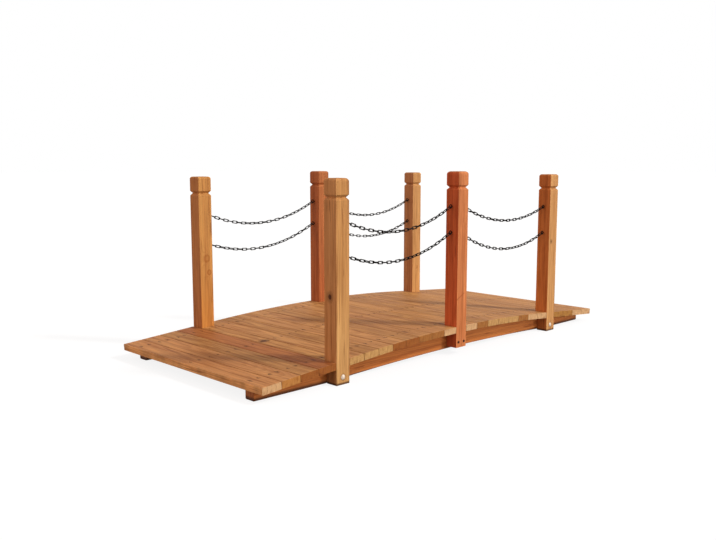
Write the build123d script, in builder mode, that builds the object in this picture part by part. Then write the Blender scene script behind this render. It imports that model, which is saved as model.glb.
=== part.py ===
from build123d import *
import math
import os

# Small arched garden bridge in oiled softwood, with posts and hanging chains. Millimetres.
# The origin is on the ground under the middle of the deck: +X along the walk, +Y to the far side, +Z up.

# Deck
deck_mid_height = 85.5
crown_half = 431.0
slope_angle = 4.46
board_length = 667.0
board_thickness = 19.0
board_edge_radius = 1.2
board_gap = 1.0
board_seat = 0.05
bay_board_width = 55.0
bay_boards = 8
end_board_width = 60.0
end_boards = 4
short_board_end_gap = 1.0

# Side beams
beam_thickness = 36.0
beam_end_inset = 17.0
beam_slip = 13.0
beam_foot_inner = 520.0
beam_arch_rise = 13.0
beam_end_radius = 2.0
beam_edge_radius = 4.0

# Posts
post_side = 46.0
end_post_height = 538.0
mid_post_bottom = 21.0
mid_post_top = 551.5
post_top_radius = 7.0
post_notch_depth = 8.0
notch_gap = 0.2
groove_below_top = 47.0
groove_depth = 6.0
groove_height = 14.0
groove_shoulder_radius = 2.0

# The posts are cut by hand: changes to the height, the groove's depth below the top and the top's rounding
post_changes = {
    ("near", "left"): (2.0, 2.5, 2.0),
    ("near", "mid"): (1.5, 0.5, 2.0),
    ("near", "right"): (1.0, -0.5, 0.0),
    ("far", "left"): (-2.5, 4.0, 0.0),
    ("far", "mid"): (-3.0, 0.0, 0.0),
    ("far", "right"): (1.5, -1.5, 0.0),
}

# Bolts through the end posts and screws through the middle posts
bolt_height = 20.0
bolt_head_radius = 7.0
bolt_head_rise = 3.0
screw_height = 38.0
screw_half_spacing = 13.0
screw_head_radius = 3.8
screw_head_rise = 1.2

# Eye screws
eye_wire = 3.0
eye_ring_radius = 5.2
eye_reach = 8.3
deep_eye_reach = 7.0
eye_neck_radius = 1.6
end_eye_high = 428.0
end_eye_low = 340.0
mid_eye_high = 448.0
mid_eye_low = 369.0

# The eye screws are set by eye: changes to the upper and the lower one on each face with a chain
eye_changes = {
    ("near", "left", 1): (-2.0, -4.0),
    ("near", "mid", -1): (1.0, 2.0),
    ("near", "mid", 1): (-2.0, -9.0),
    ("near", "right", -1): (1.5, 1.0),
    ("far", "left", 1): (-14.0, -19.0),
    ("far", "mid", -1): (-5.0, -3.0),
    ("far", "mid", 1): (-16.0, -13.0),
    ("far", "right", -1): (4.0, 9.0),
}

# Chains
link_wire = 2.8
link_width = 9.6
link_pitch = 17.6
link_clearance = 0.3
link_roll_degrees = 15.0
link_roll_change_degrees = 17.0
link_roll_cycle = 12
chain_slack_ratio = 1.02

# Places worked out from the sizes above
slope = math.radians(slope_angle)
deck_half_width = board_length / 2
bay_clear = bay_boards * bay_board_width + (bay_boards + 1) * board_gap
post_spacing = bay_clear + post_side
deck_half_length = post_spacing + post_side / 2 + end_boards * (end_board_width + board_gap)
beam_half_length = deck_half_length - beam_end_inset
post_row = deck_half_width - post_side / 2
beam_outer = deck_half_width - post_side + post_notch_depth
beam_middle = beam_outer - beam_thickness / 2
beam_crown = deck_mid_height - board_thickness - board_seat
crown_radius = crown_half / math.sin(slope)
crown_centre = beam_crown - crown_radius
short_board_length = board_length - 2 * post_side - 2 * short_board_end_gap

post_places = {"left": -post_spacing, "mid": 0.0, "right": post_spacing}
side_signs = {"near": -1, "far": 1}
level_names = {0: "upper", 1: "lower"}
bays = {"left": ("left", "mid"), "right": ("mid", "right")}


def point_above_beam(x, lift):
    """Height and tilt, in radians, of the line that runs a lift above the beams' top."""
    radius = crown_radius + lift
    if abs(x) < radius * math.sin(slope):
        tilt = math.asin(x / radius)
        return crown_centre + radius * math.cos(tilt), tilt
    tilt = math.copysign(slope, x)
    beyond = abs(x) - radius * math.sin(slope)
    return crown_centre + radius * math.cos(slope) - beyond * math.tan(slope), tilt


def tilted_plane(x, lift):
    """Plane across the walk at x, lying along the slope of the deck."""
    height, tilt = point_above_beam(x, lift)
    return Plane(
        origin=(x, 0, height),
        x_dir=(math.cos(tilt), 0, -math.sin(tilt)),
        z_dir=(math.sin(tilt), 0, math.cos(tilt)),
    )


def write_part(shape, name):
    shape.label = name
    export_step(shape, "parts/" + name + ".step")


def make_board(name, x, width, length):
    with BuildPart() as board:
        with BuildSketch(tilted_plane(x, board_seat + board_thickness / 2)):
            Rectangle(width, length)
        extrude(amount=board_thickness / 2, both=True)
        fillet(board.edges().filter_by(Axis.Y), radius=board_edge_radius)
    write_part(board.part, name)


def make_beam(name, side):
    # The near beam lies a little to the left and the far one to the right
    left_end = -beam_half_length + side * beam_slip
    right_end = beam_half_length + side * beam_slip
    left_height = point_above_beam(left_end, 0)[0]
    right_height = point_above_beam(right_end, 0)[0]
    crown_end = point_above_beam(crown_half, 0)[0]
    with BuildPart() as beam:
        with BuildSketch(Plane.XZ.offset(-side * beam_middle)):
            with BuildLine():
                Line((left_end, 0), (-beam_foot_inner, 0))
                ThreePointArc((-beam_foot_inner, 0), (0, beam_arch_rise), (beam_foot_inner, 0))
                Line((beam_foot_inner, 0), (right_end, 0))
                Line((right_end, 0), (right_end, right_height))
                Line((right_end, right_height), (crown_half, crown_end))
                ThreePointArc((crown_half, crown_end), (0, beam_crown), (-crown_half, crown_end))
                Line((-crown_half, crown_end), (left_end, left_height))
                Line((left_end, left_height), (left_end, 0))
            make_face()
        extrude(amount=beam_thickness / 2, both=True)
        long_edges = beam.edges().filter_by(lambda edge: edge.length > 2 * beam_thickness)
        fillet(long_edges.filter_by(lambda edge: edge.center().Z < beam_crown / 2), radius=beam_edge_radius)
        fillet(beam.edges().filter_by(Axis.Z), radius=beam_end_radius)
    write_part(beam.part, name)


def make_post(name, x, side, bottom, top, groove, top_radius):
    y = side * post_row
    half = post_side / 2
    with BuildPart() as post:
        with BuildSketch(Plane.XY.offset(bottom)):
            with Locations((x, y)):
                Rectangle(post_side, post_side)
        extrude(amount=top - bottom)
        # V-groove round all four faces, cut by one prism along each edge of the post
        for direction in (-1, 1):
            with BuildSketch(Plane.XZ.offset(-y)):
                with BuildLine():
                    Polyline(
                        (x + direction * half, groove - groove_height / 2),
                        (x + direction * (half - groove_depth), groove),
                        (x + direction * half, groove + groove_height / 2),
                        close=True,
                    )
                make_face()
            extrude(amount=post_side, both=True, mode=Mode.SUBTRACT)
            with BuildSketch(Plane.YZ.offset(x)):
                with BuildLine():
                    Polyline(
                        (y + direction * half, groove - groove_height / 2),
                        (y + direction * (half - groove_depth), groove),
                        (y + direction * half, groove + groove_height / 2),
                        close=True,
                    )
                make_face()
            extrude(amount=post_side, both=True, mode=Mode.SUBTRACT)
        shoulders = post.edges().filter_by(
            lambda edge: abs(abs(edge.center().Z - groove) - groove_height / 2) < groove_height / 10
        )
        fillet(shoulders, radius=groove_shoulder_radius)
        fillet(post.edges().group_by(Axis.Z)[-1], radius=top_radius)
        # Notch that laps the post over the outer face and the top of its beam
        notch_face = side * (beam_outer + notch_gap)
        left_height = point_above_beam(x - half, 0)[0] + notch_gap
        right_height = point_above_beam(x + half, 0)[0] + notch_gap
        with BuildSketch(Plane.XZ.offset(-notch_face)):
            with BuildLine():
                Polyline(
                    (x - half, 0),
                    (x - half, left_height),
                    (x + half, right_height),
                    (x + half, 0),
                    close=True,
                )
            make_face()
        extrude(amount=side * post_side, mode=Mode.SUBTRACT)
    write_part(post.part, name)


def make_bolt_heads(name):
    sphere_radius = (bolt_head_radius**2 + bolt_head_rise**2) / (2 * bolt_head_rise)
    with BuildPart() as bolts:
        for side in (-1, 1):
            face = side * deck_half_width
            for x in (-post_spacing, post_spacing):
                with BuildSketch(Plane.XY.offset(bolt_height)):
                    with BuildLine():
                        Line((x, face), (x + bolt_head_radius, face))
                        RadiusArc(
                            (x + bolt_head_radius, face),
                            (x, face + side * bolt_head_rise),
                            -side * sphere_radius,
                        )
                        Line((x, face + side * bolt_head_rise), (x, face))
                    make_face()
                revolve(axis=Axis((x, face, bolt_height), (0, 1, 0)))
    write_part(bolts.part, name)


def make_screw_heads(name):
    with BuildPart() as screws:
        for side in (-1, 1):
            with BuildSketch(Plane.XZ.offset(-side * deck_half_width)):
                with Locations((-screw_half_spacing, screw_height), (screw_half_spacing, screw_height)):
                    Circle(screw_head_radius)
            extrude(amount=-side * screw_head_rise)
    write_part(screws.part, name)


def eye_place(side_name, column, face, level):
    """Place along the walk and height of an eye ring. Face is -1 or 1, for the left or right of the post."""
    if column == "mid":
        height = (mid_eye_high, mid_eye_low)[level]
    else:
        height = (end_eye_high, end_eye_low)[level]
    height += eye_changes[side_name, column, face][level]
    # The upper eyes of the near right chain are screwed in deeper
    deep = side_name == "near" and level == 0 and (column, face) in (("mid", 1), ("right", -1))
    reach = deep_eye_reach if deep else eye_reach
    return post_places[column] + face * (post_side / 2 + reach), height


def make_eye_screws(name, side_name):
    y = side_signs[side_name] * post_row
    with BuildPart() as eyes:
        for eye_side, column, face in eye_changes:
            if eye_side != side_name:
                continue
            post_face = post_places[column] + face * post_side / 2
            for level in level_names:
                x, height = eye_place(side_name, column, face, level)
                with BuildSketch(Plane.XY.offset(height)):
                    with Locations((x + eye_ring_radius, y)):
                        Circle(eye_wire / 2)
                revolve(axis=Axis((x, y, height), (0, 1, 0)))
                with BuildSketch(Plane.YZ.offset(post_face)):
                    with Locations((y, height)):
                        Circle(eye_neck_radius)
                extrude(amount=x - face * eye_ring_radius - post_face)
    write_part(eyes.part, name)


# One link, lying flat along X, with round ends
link_inner_length = link_pitch + link_clearance
link_bend = (link_width - link_wire) / 2
link_straight = (link_inner_length + link_wire) / 2 - link_bend

with BuildPart() as link:
    with BuildLine() as link_path:
        Line((-link_straight, -link_bend), (link_straight, -link_bend))
        ThreePointArc(
            (link_straight, -link_bend), (link_straight + link_bend, 0), (link_straight, link_bend)
        )
        Line((link_straight, link_bend), (-link_straight, link_bend))
        ThreePointArc(
            (-link_straight, link_bend), (-link_straight - link_bend, 0), (-link_straight, -link_bend)
        )
    with BuildSketch(Plane(origin=(0, -link_bend, 0), z_dir=(1, 0, 0))):
        Circle(link_wire / 2)
    sweep()


def hanging_points(start, end, pitch, slack_ratio):
    """Joints of a chain hung between two points, an odd number of links long, on its catenary."""
    span = end[0] - start[0]
    rise = end[1] - start[1]
    least_length = math.hypot(span, rise) * slack_ratio
    links = math.ceil(least_length / pitch)
    if links % 2 == 0:
        links += 1
    length = links * pitch
    # Find the parameter of the catenary by halving the range of span / (2 * parameter)
    target = math.sqrt(length**2 - rise**2) / span
    low = 1e-6
    high = 10.0
    for _ in range(80):
        guess = (low + high) / 2
        if math.sinh(guess) / guess < target:
            low = guess
        else:
            high = guess
    parameter = span / (2 * low)
    lowest = span / 2 - parameter * math.atanh(rise / length)
    points = []
    for joint in range(links + 1):
        along = joint * pitch / parameter - math.sinh(lowest / parameter)
        x = lowest + parameter * math.asinh(along)
        height = parameter * (math.cosh((x - lowest) / parameter) - math.cosh(lowest / parameter))
        points.append((start[0] + x, start[1] + height))
    return points


def chain_joints(side_name, bay, level):
    """Joints between the links of one chain, the first and last of them at the eye rings."""
    left, right = bays[bay]
    start = eye_place(side_name, left, 1, level)
    end = eye_place(side_name, right, -1, level)
    seat = eye_ring_radius - (eye_wire + link_clearance) / 2
    joints = hanging_points(start, end, link_pitch, chain_slack_ratio)
    for _ in range(3):
        first_turn = math.atan2(joints[1][1] - joints[0][1], joints[1][0] - joints[0][0])
        last_turn = math.atan2(joints[-2][1] - joints[-1][1], joints[-2][0] - joints[-1][0])
        hook_start = (start[0] + seat * math.cos(first_turn), start[1] + seat * math.sin(first_turn))
        hook_end = (end[0] + seat * math.cos(last_turn), end[1] + seat * math.sin(last_turn))
        joints = hanging_points(hook_start, hook_end, link_pitch, chain_slack_ratio)
    return joints


def make_chain(name, side_name, bay, level):
    joints = chain_joints(side_name, bay, level)
    places = []
    for index in range(len(joints) - 1):
        x0, z0 = joints[index]
        x1, z1 = joints[index + 1]
        turn = math.atan2(z1 - z0, x1 - x0)
        # Every second link lies flat, the others stand, and the chain is slightly twisted along its length
        twist = math.sin(2 * math.pi * index / link_roll_cycle) * (1 if level else -1)
        roll = math.radians(link_roll_degrees + link_roll_change_degrees * twist)
        if index % 2 == 0:
            roll += math.pi / 2
        along = (math.cos(turn), 0, math.sin(turn))
        normal = (-math.sin(turn) * math.sin(roll), math.cos(roll), math.cos(turn) * math.sin(roll))
        middle = ((x0 + x1) / 2, side_signs[side_name] * post_row, (z0 + z1) / 2)
        places.append(Plane(origin=middle, x_dir=along, z_dir=normal).location)
    with BuildPart() as chain:
        with Locations(*places):
            add(link.part)
    write_part(chain.part, name)
    return len(places)


os.makedirs("parts", exist_ok=True)

# Boards, from the left end to the right
end_pitch = end_board_width + board_gap
bay_pitch = bay_board_width + board_gap
board_rows = []
end_start = -post_spacing - post_side / 2 - board_gap - end_board_width / 2
for index in range(end_boards):
    board_rows.append((end_start - (end_boards - 1 - index) * end_pitch, end_board_width))
for bay_start in (-post_spacing, 0.0):
    first_board = bay_start + post_side / 2 + board_gap + bay_board_width / 2
    for index in range(bay_boards):
        board_rows.append((first_board + index * bay_pitch, bay_board_width))
for index in range(end_boards):
    board_rows.append((-end_start + index * end_pitch, end_board_width))
for number, (x, width) in enumerate(board_rows, start=1):
    make_board("board_%02d" % number, x, width, board_length)
for column, x in post_places.items():
    make_board("short_board_" + column, x, post_side, short_board_length)

for side_name, side in side_signs.items():
    make_beam("beam_" + side_name, side)
    for column, x in post_places.items():
        height_change, groove_change, radius_change = post_changes[side_name, column]
        bottom = mid_post_bottom if column == "mid" else 0.0
        top = (mid_post_top if column == "mid" else end_post_height) + height_change
        groove = top - groove_below_top - groove_change
        radius = post_top_radius + radius_change
        make_post("post_" + side_name + "_" + column, x, side, bottom, top, groove, radius)
    make_eye_screws("eye_screws_" + side_name, side_name)
    for bay in bays:
        for level, level_name in level_names.items():
            name = "chain_" + side_name + "_" + bay + "_" + level_name
            count = make_chain(name, side_name, bay, level)
            print(name, count, "links,", round(count * link_pitch), "mm long")

make_bolt_heads("bolt_heads")
make_screw_heads("screw_heads")
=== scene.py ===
import bmesh
import bpy
import math
import random
from mathutils import Euler, Matrix, Vector


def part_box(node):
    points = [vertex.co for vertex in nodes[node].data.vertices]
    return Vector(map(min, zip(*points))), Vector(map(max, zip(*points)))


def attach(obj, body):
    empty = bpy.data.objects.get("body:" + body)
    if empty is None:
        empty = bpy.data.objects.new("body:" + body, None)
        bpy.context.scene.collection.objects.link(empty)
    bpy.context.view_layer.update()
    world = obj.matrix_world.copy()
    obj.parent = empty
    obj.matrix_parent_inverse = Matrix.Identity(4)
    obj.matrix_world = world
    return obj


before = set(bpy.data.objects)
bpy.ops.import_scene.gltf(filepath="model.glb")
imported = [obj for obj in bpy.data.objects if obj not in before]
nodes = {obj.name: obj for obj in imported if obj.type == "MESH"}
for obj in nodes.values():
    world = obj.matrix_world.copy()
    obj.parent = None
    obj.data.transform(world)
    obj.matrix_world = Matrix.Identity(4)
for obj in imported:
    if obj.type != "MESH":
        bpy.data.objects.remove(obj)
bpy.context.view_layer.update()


# Lengths are in metres, but for the camera's sensor in millimetres, and angles are in degrees

# Camera, at the photograph's place

photo_width = 716
lens_pixels = 810.6
sensor_width = 36.0
camera_place = Vector((-1.9199, -1.8411, 0.5807))
camera_azimuth = 44.466
camera_elevation = 7.60
nearest_seen = 0.05
farthest_seen = 60.0


def set_camera():
    camera = bpy.data.cameras.new("camera")
    camera.sensor_width = sensor_width
    camera.lens = lens_pixels * sensor_width / photo_width
    camera.clip_start = nearest_seen
    camera.clip_end = farthest_seen
    holder = bpy.data.objects.new("camera", camera)
    holder.location = camera_place
    holder.rotation_euler = Euler((math.radians(90 - camera_elevation), 0, math.radians(-camera_azimuth)))
    bpy.context.collection.objects.link(holder)
    bpy.context.scene.camera = holder


# Colours

def linear(code):
    """Linear colour, with alpha, of a six-figure colour code."""
    channels = []
    for start in (0, 2, 4):
        value = int(code[start:start + 2], 16) / 255
        channels.append(value / 12.92 if value <= 0.04045 else ((value + 0.055) / 1.055) ** 2.4)
    return (*channels, 1.0)


def tinted(color, red, green, blue):
    return (min(color[0] * red, 1.0), min(color[1] * green, 1.0), min(color[2] * blue, 1.0), 1.0)


# Node graphs

class Graph:
    """Short calls that add nodes to a node tree."""

    def __init__(self, tree):
        self.tree = tree
        tree.nodes.clear()

    def node(self, kind, inputs=(), **settings):
        """New node. Each input is a socket to link or a constant to set."""
        made = self.tree.nodes.new("ShaderNode" + kind)
        for key, value in settings.items():
            setattr(made, key, value)
        for socket, value in dict(inputs).items():
            if isinstance(value, bpy.types.NodeSocket):
                self.tree.links.new(value, made.inputs[socket])
            else:
                made.inputs[socket].default_value = value
        return made

    def math(self, operation, first, second=0.0, third=0.0, clamp=False):
        inputs = {0: first, 1: second, 2: third}
        return self.node("Math", inputs, operation=operation, use_clamp=clamp).outputs[0]

    def times(self, first, second):
        return self.math("MULTIPLY", first, second)

    def less(self, first, second):
        return self.math("SUBTRACT", first, second)

    def scaled(self, value, scale, offset):
        """value * scale + offset"""
        return self.math("MULTIPLY_ADD", value, scale, offset)

    def positive(self, value):
        return self.math("ABSOLUTE", value)

    def smooth(self, value, low, high, bottom=0.0, top=1.0):
        """Soft step from bottom, where value is low, to top, where it is high. low may be the larger one."""
        inputs = {"Value": value, "From Min": low, "From Max": high, "To Min": bottom, "To Max": top}
        return self.node("MapRange", inputs, interpolation_type="SMOOTHSTEP").outputs["Result"]

    def vector(self, x, y, z=0.0):
        return self.node("CombineXYZ", {"X": x, "Y": y, "Z": z}).outputs[0]

    def length(self, x, y, z=0.0):
        return self.node("VectorMath", {0: self.vector(x, y, z)}, operation="LENGTH").outputs["Value"]

    def parts(self, vector):
        return self.node("SeparateXYZ", {"Vector": vector}).outputs

    def noise(self, place, scale=1.0, detail=2.0, roughness=0.5, distortion=0.0):
        inputs = {"Vector": place, "Scale": scale, "Detail": detail}
        inputs.update({"Roughness": roughness, "Distortion": distortion})
        return self.node("TexNoise", inputs).outputs[0]

    def mix(self, share, first, second, blend="MIX"):
        """Mix of two colours, which are sockets 6 and 7 of the node."""
        inputs = {0: share, 6: first, 7: second}
        return self.node("Mix", inputs, data_type="RGBA", blend_type=blend).outputs[2]

    def seen_by_camera(self):
        """1 for what the camera sees straight, in a gloss or through glass, and 0 for all other light."""
        ray = self.node("LightPath")
        seen = self.math("MAXIMUM", ray.outputs["Is Camera Ray"], ray.outputs["Is Glossy Ray"])
        return self.math("MAXIMUM", seen, ray.outputs["Is Transmission Ray"])


class Finish(Graph):
    """One material."""

    def __init__(self, name):
        self.material = bpy.data.materials.new(name)
        self.material.use_nodes = True
        super().__init__(self.material.node_tree)

    def surface(self, color, roughness, height, bump_depth, **fixed):
        shader = self.node("BsdfPrincipled", {"Base Color": color, "Roughness": roughness})
        for socket, value in fixed.items():
            shader.inputs[socket.replace("_", " ")].default_value = value
        bump = self.node("Bump", {"Height": height, "Distance": bump_depth, "Strength": 1.0})
        self.tree.links.new(bump.outputs[0], shader.inputs["Normal"])
        self.node("OutputMaterial", {"Surface": shader.outputs[0]})
        return self.material


# Oiled softwood

# Which axes run along, across and through a piece whose grain runs along the first
grain_order = {"X": ("X", "Y", "Z"), "Y": ("Y", "X", "Z"), "Z": ("Z", "X", "Y")}
largest_shift = 40

knot_brown = linear("452008")
grime_brown = linear("4b2a16")
# Painted contact shade where the feet stand on the floor
contact_shade_brown = linear("34190a")

# Changes of a wood's usual tone: red, green, blue
pale_wood = (1.2, 1.27, 1.3)
dark_wood = (0.62, 0.49, 0.39)
pale_streak = (1.28, 1.38, 1.35)
dark_dash = (0.42, 0.3, 0.24)
sound_knot = (0.6, 0.4, 0.28)
torn_wood = (0.55, 0.36, 0.28)
pale_end_tint = (1.35, 1.5, 1.6)
end_dark_band = (0.62, 0.5, 0.42)
end_pale_band = (1.22, 1.3, 1.3)

# The heart wavers once in about half a metre, by these widths across and through the piece
waver_scale = 2.2
waver_across = 0.024
waver_through = 0.02

# Fibres and broad bands bend the rings, by metres and by whole rings
fibre_bend = 0.0009
band_bend = 1.6

# Knots darker than this are dead ones
dead_knot = 0.7
# Distances along the grain count for less, so that a knot is a little longer that way
knot_along_scale = 0.85
# The rings are pushed aside by this many times a knot's size, and the push fades with the distance squared
knot_push = 1.6
knot_fading = -0.22

# Depth through a post at which its near face begins, and at which the mark is full
near_face_from = -0.0215
near_face_full = -0.0228
bolt_ring_outer = 0.0115
bolt_ring_inner = 0.0075

pale_end_length = 0.012
seam_width = 0.003
seam_scale = 14.0
end_band_scale_across = 150.0
end_band_scale_through = 45.0
# Waver of the upper edge of the painted contact shade
contact_shade_waver = 0.004

# Stain round a nail: how fast it fades along and across the board, and its size and raggedness
nail_stain_along = 110.0
nail_stain_across = 200.0
nail_stain_size = 1.65
nail_stain_raggedness = 3.6

wood_bump_depth = 0.00035
wood_gloss = 0.12


class Wood(Finish):
    """Softwood cut from a log whose heart runs beside the piece.

    grain is the axis along it. tone is the usual colour of the wood. pith is where the heart runs, across
    the piece and through it, and lean is how far it strays along the piece. streaks and ring_depth are the
    strength of the streaks and of the late wood. Each knot is (along, across, through, size, darkness).
    Tints, knots, stains and end grain are laid on by one call each, and oiled() comes last.
    """

    def __init__(self, name, grain, middle, tone, draw, ring_width, pith, lean, streaks, ring_depth,
                 knots=()):
        super().__init__(name)
        self.grain = grain
        self.tone = tone
        self.shift = draw.uniform(0, largest_shift)
        texture = self.node("TexCoord")
        self.place = texture.outputs["Object"]
        self.normal = texture.outputs["Normal"]
        centred = self.node("Mapping", {"Vector": self.place, "Location": [-c for c in middle]})
        parts = self.parts(centred.outputs[0])
        self.along, self.across, self.through = (parts[letter] for letter in grain_order[grain])

        self.fibre = self.noise(self.stretched(9.0, 420.0), detail=3.0, roughness=0.6)
        self.broad = self.noise(self.stretched(1.6, 60.0), detail=3.0, roughness=0.55)
        self.patch = self.noise(self.stretched(3.0, 16.0, 7.0))
        self.dash = self.noise(self.stretched(9.0, 150.0, 3.0))
        self.streak = self.noise(self.stretched(4.5, 90.0, 11.0), detail=4.0, roughness=0.62, distortion=0.2)

        radius = self.heart_distance(pith, lean)
        self.knot_layers = []
        for knot in knots:
            radius = self.pushed_by_knot(radius, *knot)
        self.late_wood = self.rings(radius, ring_width)
        self.color = self.figure(streaks, ring_depth)

    def stretched(self, along_scale, side_scale, offset=0.0):
        """Place for a noise that is drawn out along the grain."""
        return self.vector(
            self.scaled(self.along, along_scale, self.shift + offset),
            self.scaled(self.across, side_scale, self.shift),
            self.times(self.through, side_scale),
        )

    def cover(self, share, color, blend="MIX"):
        self.color = self.mix(share, self.color, color, blend)

    def heart_distance(self, pith, lean):
        """Distance from the log's heart, which wavers along the piece."""
        waver_place = self.vector(self.scaled(self.along, waver_scale, self.shift), 0.0)
        waver = self.node("TexNoise", {"Vector": waver_place, "Scale": 1.0, "Detail": 2.0})
        waver_parts = self.node("SeparateColor", {"Color": waver.outputs["Color"]})
        aside = self.scaled(waver_parts.outputs[0], waver_across, -waver_across / 2 - pith[0])
        inward = self.scaled(waver_parts.outputs[1], waver_through, -waver_through / 2 - pith[1])
        slant = self.scaled(self.along, lean, inward)
        return self.length(self.math("ADD", self.across, aside), self.math("ADD", self.through, slant))

    def pushed_by_knot(self, radius, along, across, through, size, darkness):
        """Radius of the rings where a knot pushes them aside. The knot's colour waits for lay_knots."""
        away = self.length(
            self.times(self.less(self.along, along), knot_along_scale / size),
            self.times(self.less(self.across, across), 1.0 / size),
            self.times(self.less(self.through, through), 1.0 / size),
        )
        if darkness > dead_knot:
            heart = self.smooth(away, 1.3, 0.6, top=darkness)
            halo = self.smooth(away, 2.6, 1.1, top=0.4)
            self.knot_layers.append((self.math("MAXIMUM", heart, halo), knot_brown))
        else:
            rim = self.times(self.smooth(away, 1.5, 1.15), self.smooth(away, 0.5, 0.95, bottom=0.45))
            self.knot_layers.append((self.times(rim, darkness), tinted(self.tone, *sound_knot)))
        near = self.math("EXPONENT", self.times(self.times(away, away), knot_fading))
        return self.scaled(near, size * knot_push, radius)

    def rings(self, radius, ring_width):
        """Share of late wood, which grows dark through a ring and ends at once."""
        count = self.times(self.scaled(self.fibre, fibre_bend, radius), 1.0 / ring_width)
        phase = self.math("FRACT", self.scaled(self.broad, band_bend, count))
        return self.times(self.smooth(phase, 0.25, 0.86), self.smooth(phase, 1.0, 0.9))

    def figure(self, streaks, ring_depth):
        """Colour of clean wood."""
        dark = tinted(self.tone, *dark_wood)
        color = self.mix(self.smooth(self.broad, 0.32, 0.64), tinted(self.tone, *pale_wood), self.tone)
        layers = (
            (self.smooth(self.streak, 0.48, 0.66, top=streaks), dark),
            (self.smooth(self.streak, 0.44, 0.32, top=streaks), tinted(self.tone, *pale_streak)),
            (self.smooth(self.patch, 0.5, 0.74, top=0.3 * streaks), dark),
            (self.times(self.late_wood, ring_depth), dark),
            (self.smooth(self.dash, 0.63, 0.71, top=0.6), tinted(self.tone, *dark_dash)),
        )
        for share, layer in layers:
            color = self.mix(share, color, layer)
        shade = self.smooth(self.fibre, 0.3, 0.72, 0.86, 1.1)
        shade_color = self.node("CombineColor", {0: shade, 1: shade, 2: shade}).outputs[0]
        return self.mix(1.0, color, shade_color, "MULTIPLY")

    def tint_left(self, tint):
        """Change the tone of the face to the left. Returns how far a place belongs to that face."""
        leftward = self.smooth(self.parts(self.normal)["X"], -0.5, -0.8)
        self.cover(leftward, (*tint, 1.0), "MULTIPLY")
        return leftward

    def tint_low(self, tint, leftward):
        """Change the tone towards the bottom of a standing piece, but for its left face."""
        low = self.times(self.smooth(self.along, 0.05, -0.2), self.less(1.0, leftward))
        self.cover(low, (*tint, 1.0), "MULTIPLY")

    def lay_knots(self):
        for share, color in self.knot_layers:
            self.cover(share, color)

    def near_face(self):
        return self.smooth(self.through, near_face_from, near_face_full)

    def tear(self, from_along, from_across, to_along, to_across, half_width):
        """Line torn in the near face."""
        run = (to_along - from_along, to_across - from_across)
        length_squared = run[0] ** 2 + run[1] ** 2
        along = self.less(self.along, from_along)
        across = self.less(self.across, from_across)
        share = self.times(along, run[0] / length_squared)
        share = self.math("MULTIPLY_ADD", across, run[1] / length_squared, share, clamp=True)
        gap = self.length(self.scaled(share, -run[0], along), self.scaled(share, -run[1], across))
        torn = self.smooth(gap, half_width, 0.2 * half_width, top=0.6)
        self.cover(self.times(torn, self.near_face()), tinted(self.tone, *torn_wood))

    def stain_bolt(self, along, across):
        """Dark ring on the near face, where a bolt's head has bled."""
        gap = self.length(self.less(self.along, along), self.less(self.across, across))
        bled = self.smooth(gap, bolt_ring_outer, bolt_ring_inner, top=0.45)
        self.cover(self.times(bled, self.near_face()), grime_brown)

    # Paler, greyer patches on the wood within pale_end_length of each end
    def pale_ends(self, half_length):
        to_end = self.less(half_length, self.positive(self.along))
        paler = self.times(self.smooth(to_end, pale_end_length, 0.0), self.smooth(self.streak, 0.6, 0.4, top=0.6))
        self.cover(paler, tinted(self.tone, *pale_end_tint))

    def show_end_grain(self, end_tone):
        """Colour of the faces across the grain."""
        end_face = self.smooth(self.positive(self.parts(self.normal)[self.grain]), 0.75, 0.95)
        dark = tinted(end_tone, *end_dark_band)
        bands_place = self.vector(
            self.scaled(self.across, end_band_scale_across, self.shift),
            self.times(self.through, end_band_scale_through),
        )
        bands = self.noise(bands_place, detail=3.0, roughness=0.6)
        color = self.mix(self.times(self.late_wood, 0.2), end_tone, dark)
        color = self.mix(self.smooth(bands, 0.5, 0.66, top=0.7), color, dark)
        color = self.mix(self.smooth(bands, 0.46, 0.34, top=0.6), color, tinted(end_tone, *end_pale_band))
        self.cover(end_face, color)

    def grime_seams(self, half_width):
        """Grime along the two long edges, in some stretches more than in others."""
        to_edge = self.less(half_width, self.positive(self.across))
        place = self.vector(self.scaled(self.along, seam_scale, self.shift), self.math("SIGN", self.across))
        stretch = self.smooth(self.noise(place), 0.38, 0.65, top=0.4)
        self.cover(self.times(self.smooth(to_edge, seam_width, 0.0), stretch), grime_brown)

    def stain_nails(self, row, half_spacing):
        """Ragged stain round each nail: pairs at a distance of row from the middle, and in the middle."""
        to_middle = self.positive(self.along)
        beside = self.math("MINIMUM", self.positive(self.less(to_middle, row)), to_middle)
        beyond = self.less(self.positive(self.across), half_spacing)
        gap = self.length(self.times(beside, nail_stain_along), self.times(beyond, nail_stain_across))
        gap = self.scaled(self.dash, nail_stain_raggedness, self.less(gap, nail_stain_size))
        self.cover(self.smooth(gap, 1.3, 0.3, top=0.65), grime_brown)

    def paint_contact_shade(self, rise):
        """Painted contact shade along the lowest edge, up to the height rise, wavering a little."""
        height = self.scaled(self.broad, contact_shade_waver, self.parts(self.place)["Z"])
        self.cover(self.smooth(height, rise, 0.45 * rise, top=0.85), contact_shade_brown)

    def oiled(self):
        """The finished material, with late wood and fibres a little proud."""
        height = self.scaled(self.late_wood, 0.35, self.times(self.fibre, 0.9))
        roughness = self.scaled(self.fibre, 0.2, 0.5)
        return self.surface(self.color, roughness, height, wood_bump_depth, Specular_IOR_Level=wood_gloss)


# Pieces of the frame

def middle_and_half(name):
    """Middle of a node's box, and half its size."""
    low, high = (Vector(corner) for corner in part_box(name))
    return (low + high) / 2, (high - low) / 2


def finish_node(name, material):
    mesh = nodes[name].data
    mesh.materials.clear()
    mesh.materials.append(material)


def board_names():
    return sorted(name for name in nodes if name.startswith(("board_", "short_board_")))


# Deck. Boards are numbered from the left

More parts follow.
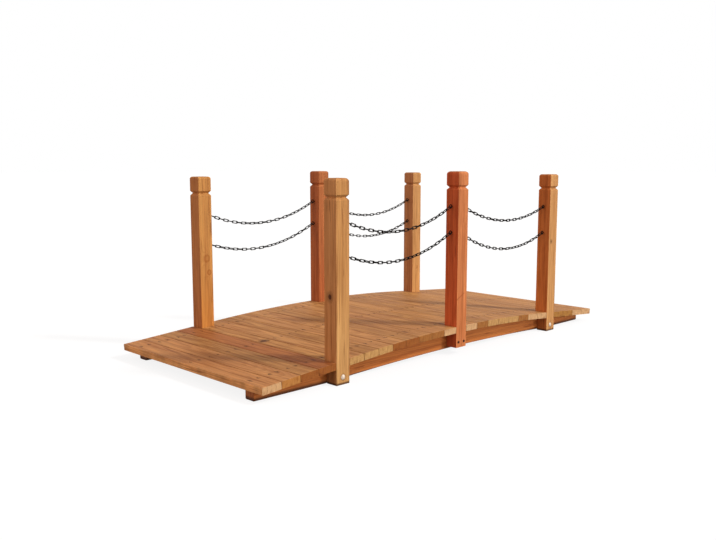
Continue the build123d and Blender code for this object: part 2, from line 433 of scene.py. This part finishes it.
deck_tone = "b7814c"
odd_board_tones = {1: "b67d49", 2: "b9804b", 4: "ab6a3b"}
# Painted bounce light from the floor: the first board's left face is made much lighter
first_board_edge_painted_bounce = (1.9, 2.2, 2.5)
large_knot = (0.001, -0.001, 0.009, 0.0085, 0.95)

end_tones = {
    "pale": "c99f72",
    "honey": "bb8f58",
    "tan": "a47235",
    "orange": "b1773c",
    "brown": "9b6430",
    "dark": "925524",
}
# The ends of the long boards, from left to right. Those of the short boards are honey
end_words = (
    "pale orange dark dark honey honey honey dark dark brown brown pale "
    "pale brown honey honey honey brown pale pale tan tan pale pale"
).split()

nail_row = 0.262
nail_half_spacing = 0.0125

# Ranges of what differs from board to board
board_light = (0.89, 1.09)
board_blue = (0.94, 1.06)
board_pith_across = (-0.03, 0.03)
board_pith_depth = (0.03, 0.12)
board_ring_width = (0.0028, 0.005)
board_lean = (-0.05, 0.05)
board_streaks = (0.7, 1.0)
board_ring_depth = (0.3, 0.45)


def finish_deck():
    for name in board_names():
        draw = random.Random("deck " + name)
        middle, half = middle_and_half(name)
        number = 0 if name.startswith("short_board_") else int(name[-2:])
        light = draw.uniform(*board_light)
        blue = light * draw.uniform(*board_blue)
        tone = tinted(linear(odd_board_tones.get(number, deck_tone)), light, light, blue)
        pith = (draw.uniform(*board_pith_across), draw.choice((-1, 1)) * draw.uniform(*board_pith_depth))
        board = Wood(
            "deck_" + name, "Y", middle, tone, draw, ring_width=draw.uniform(*board_ring_width),
            pith=pith, lean=draw.uniform(*board_lean), streaks=draw.uniform(*board_streaks),
            ring_depth=draw.uniform(*board_ring_depth),
            knots=[large_knot] if name == "short_board_left" else (),
        )
        if number == 1:
            # Painted bounce light on the first board's left face
            board.tint_left(first_board_edge_painted_bounce)
        board.lay_knots()
        board.pale_ends(half.y)
        board.show_end_grain(linear(end_tones[end_words[number - 1] if number else "honey"]))
        board.grime_seams(half.x)
        board.stain_nails(nail_row, nail_half_spacing)
        finish_node(name, board.oiled())


# Beams

beam_tone = linear("c07238")
beam_end_tone = linear("a5653a")
beam_pith = (0.01, -0.09)
beam_lean = 0.012
beam_ring_width = 0.005
beam_ring_depth = 0.35
beam_streaks = 0.6
# Height of the painted contact shade at the beams' feet
beam_contact_shade_rise = 0.015


def finish_beams():
    for name in ("beam_near", "beam_far"):
        beam = Wood(
            name, "X", middle_and_half(name)[0], beam_tone, random.Random(name),
            ring_width=beam_ring_width, pith=beam_pith, lean=beam_lean, streaks=beam_streaks,
            ring_depth=beam_ring_depth,
        )
        beam.show_end_grain(beam_end_tone)
        # Painted contact shade at the beam's foot
        beam.paint_contact_shade(beam_contact_shade_rise)
        finish_node(name, beam.oiled())


# Posts

# Tone of each post, and its changes on the left face and towards the bottom
post_looks = {
    "post_near_left": ("ba844d", (1.2, 1.2, 1.38), (1.14, 1.28, 1.42)),
    "post_near_mid": ("c87a49", (1.03, 0.63, 0.58), (1.0, 0.97, 0.93)),
    "post_near_right": ("c9935b", (1.0, 0.63, 0.46), (1.0, 1.0, 1.0)),
    "post_far_left": ("bc8448", (1.0, 0.86, 1.0), (1.0, 0.86, 0.66)),
    "post_far_mid": ("ac663a", (1.15, 1.08, 1.22), (1.0, 0.85, 0.8)),
    "post_far_right": ("c28f59", (0.92, 0.79, 0.9), (1.0, 0.95, 0.88)),
}
# Knots on the posts: along, across and through the post from its middle, size, and darkness
post_knots = {
    "post_near_left": [(-0.037, -0.023, 0.002, 0.007, 0.95)],
    "post_far_left": [(0.013, 0.002, -0.023, 0.0085, 0.6), (-0.031, 0.01, -0.023, 0.006, 0.7)],
    "post_near_right": [(0.041, -0.009, -0.023, 0.004, 0.8)],
    "post_far_right": [(-0.105, 0.005, -0.023, 0.004, 0.7), (0.052, -0.003, -0.023, 0.005, 0.6)],
}
# Torn line on a post: along and across at both ends, from the post's middle, and half its width
post_tears = {"post_near_mid": (-0.118, -0.023, -0.101, 0.01, 0.0036)}

post_end_tone = linear("b67c45")
# Height of the painted contact shade at the posts' feet
post_contact_shade_rise = 0.0105
bolt_height = 0.02
bolted_posts = ("post_near_left", "post_near_right")

# What all posts share, and ranges of what differs from post to post
post_streaks = 0.6
post_ring_depth = 0.26
post_ring_width = (0.003, 0.0045)
post_pith_across = (-0.05, 0.05)
post_pith_depth = (0.03, 0.07)
post_lean = (-0.02, 0.02)


def finish_posts():
    for name, (tone, left_tint, low_tint) in post_looks.items():
        draw = random.Random(name)
        middle = middle_and_half(name)[0]
        post = Wood(
            name, "Z", middle, linear(tone), draw, ring_width=draw.uniform(*post_ring_width),
            pith=(draw.uniform(*post_pith_across), draw.uniform(*post_pith_depth)),
            lean=draw.uniform(*post_lean), streaks=post_streaks, ring_depth=post_ring_depth,
            knots=post_knots.get(name, ()),
        )
        leftward = post.tint_left(left_tint)
        post.tint_low(low_tint, leftward)
        post.lay_knots()
        if name in post_tears:
            post.tear(*post_tears[name])
        if name in bolted_posts:
            post.stain_bolt(bolt_height - middle.z, 0.0)
        post.show_end_grain(post_end_tone)
        # Painted contact shade at the post's foot
        post.paint_contact_shade(post_contact_shade_rise)
        finish_node(name, post.oiled())


# Steel

dark_mottle_scale = 320.0
dark_bump_depth = 0.00008
dark_gloss = 0.06
zinc_spangle_scale = 420.0
zinc_mottle_scale = 180.0
zinc_bump_depth = 0.00006
zinc_metallic = 0.5


def dark_steel(name, color, rough, metallic):
    steel = Finish(name)
    mottle = steel.noise(steel.node("TexCoord").outputs["Object"], scale=dark_mottle_scale, detail=3.0)
    tint = steel.mix(steel.smooth(mottle, 0.35, 0.7), color, tinted(color, 1.8, 1.6, 1.4))
    roughness = steel.smooth(mottle, 0.3, 0.7, rough, rough + 0.2)
    fixed = {"Metallic": metallic, "Specular_IOR_Level": dark_gloss}
    return steel.surface(tint, roughness, mottle, dark_bump_depth, **fixed)


def zinc(name):
    steel = Finish(name)
    place = steel.node("TexCoord").outputs["Object"]
    spangle = steel.node("TexVoronoi", {"Vector": place, "Scale": zinc_spangle_scale}).outputs["Distance"]
    mottle = steel.noise(place, scale=zinc_mottle_scale, detail=3.0)
    tint = steel.mix(steel.smooth(mottle, 0.3, 0.7), linear("e0d2c4"), linear("b8a898"))
    roughness = steel.smooth(spangle, 0.1, 0.7, 0.45, 0.65)
    return steel.surface(tint, roughness, mottle, zinc_bump_depth, Metallic=zinc_metallic)


def finish_steel():
    black = dark_steel("black_chain", linear("0b0908"), 0.4, 0.0)
    for name in nodes:
        if name.startswith(("chain_", "eye_screws_")):
            finish_node(name, black)
    finish_node("bolt_heads", zinc("zinc_bolt"))
    finish_node("screw_heads", dark_steel("dark_screw", linear("2a1710"), 0.5, 0.4))


# Pieces of the scene alone

def add_object(name, shape, material):
    """New object from a bmesh, which is freed."""
    mesh = bpy.data.meshes.new(name)
    shape.to_mesh(mesh)
    shape.free()
    mesh.materials.append(material)
    made = bpy.data.objects.new(name, mesh)
    bpy.context.collection.objects.link(made)
    return made


# Nail heads in pairs on every board, above both beams and along the middle. Half their height is sunk

nail_radius = 0.0019
nail_top_radius = 0.85 * nail_radius
nail_rise = 0.0003
nail_sides = 12
nail_scatter_x = 0.0025
nail_scatter_y = 0.007
least_upward = 0.9


def board_plane(name):
    """A corner of a board's top face, and the face's normal."""
    mesh = nodes[name].data
    areas = {}
    corners = {}
    for face in mesh.polygons:
        if face.normal.z > least_upward:
            normal = tuple(round(n, 3) for n in face.normal)
            areas[normal] = areas.get(normal, 0.0) + face.area
            corners[normal] = mesh.vertices[face.vertices[0]].co
    normal = max(areas, key=areas.get)
    return corners[normal], Vector(normal).normalized()


def add_nails():
    draw = random.Random("nails")
    heads = bmesh.new()
    for name in board_names():
        middle = middle_and_half(name)[0]
        corner, up = board_plane(name)
        turn = up.to_track_quat("Z", "Y").to_matrix().to_4x4()
        for row in (-nail_row, 0.0, nail_row):
            for side in (-1, 1):
                x = middle.x + side * nail_half_spacing + draw.uniform(-nail_scatter_x, nail_scatter_x)
                y = row + draw.uniform(-nail_scatter_y, nail_scatter_y)
                z = corner.z - (up.x * (x - corner.x) + up.y * (y - corner.y)) / up.z
                bmesh.ops.create_cone(
                    heads, cap_ends=True, segments=nail_sides, radius1=nail_radius, radius2=nail_top_radius,
                    depth=2 * nail_rise, matrix=Matrix.Translation((x, y, z)) @ turn,
                )
    bmesh.ops.recalc_face_normals(heads, faces=heads.faces)
    nails = add_object("nails", heads, dark_steel("nail_steel", linear("3a2415"), 0.6, 0.2))
    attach(nails, "root")


# Floor, backdrop and lights

white = (1.0, 1.0, 1.0, 1.0)
fill_strength = 0.49
fill_color = (1.0, 0.895, 0.83, 1.0)

floor_half_width = 40.0
floor_drop = 0.0005
floor_grey = (0.165, 0.17, 0.176, 1.0)
floor_glow = 0.865

# Name of each sun, where it shines from, strength, width of its disc, colour
suns = (
    ("high_key", (0.48, -0.77, 0.82), 1.78, 7.0, (1.0, 0.98, 0.95)),
    ("low_key", (0.47, -0.77, 0.16), 0.66, 7.0, (1.0, 0.98, 0.95)),
    ("low_fill", (0.25, -0.96, 0.12), 1.2, 40.0, (1.0, 0.95, 0.9)),
    ("warm_fill", (-1.0, 0.0, 0.3), 0.68, 50.0, (1.0, 0.57, 0.38)),
)


def set_world():
    """White for the camera, and a soft fill for the part."""
    world = bpy.data.worlds.new("studio")
    bpy.context.scene.world = world
    world.use_nodes = True
    studio = Graph(world.node_tree)
    soft = studio.node("Background", {"Color": fill_color, "Strength": fill_strength})
    plain = studio.node("Background", {"Color": white})
    shaders = {0: studio.seen_by_camera(), 1: soft.outputs[0], 2: plain.outputs[0]}
    studio.node("OutputWorld", {"Surface": studio.node("MixShader", shaders).outputs[0]})


def add_floor():
    """White floor for the camera, with the shadow kept, that throws little light back."""
    paint = Finish("floor_white")
    diffuse = paint.node("BsdfDiffuse", {"Color": floor_grey})
    glow = paint.node("Emission", {"Color": white, "Strength": floor_glow})
    both = paint.node("AddShader", {0: diffuse.outputs[0], 1: glow.outputs[0]})
    shaders = {0: paint.seen_by_camera(), 1: diffuse.outputs[0], 2: both.outputs[0]}
    paint.node("OutputMaterial", {"Surface": paint.node("MixShader", shaders).outputs[0]})
    shape = bmesh.new()
    bmesh.ops.create_grid(shape, x_segments=1, y_segments=1, size=floor_half_width)
    floor = add_object("floor", shape, paint.material)
    floor.location = (0, 0, -floor_drop)


def set_lights():
    for name, source, strength, disc_width, color in suns:
        lamp = bpy.data.lights.new(name, "SUN")
        lamp.energy = strength
        lamp.angle = math.radians(disc_width)
        lamp.color = color
        holder = bpy.data.objects.new(name, lamp)
        holder.rotation_euler = Vector(source).to_track_quat("Z", "Y").to_euler()
        bpy.context.collection.objects.link(holder)


set_camera()
finish_deck()
finish_beams()
finish_posts()
finish_steel()
add_nails()
set_world()
add_floor()
set_lights()

bpy.context.scene.view_settings.view_transform = "Standard"
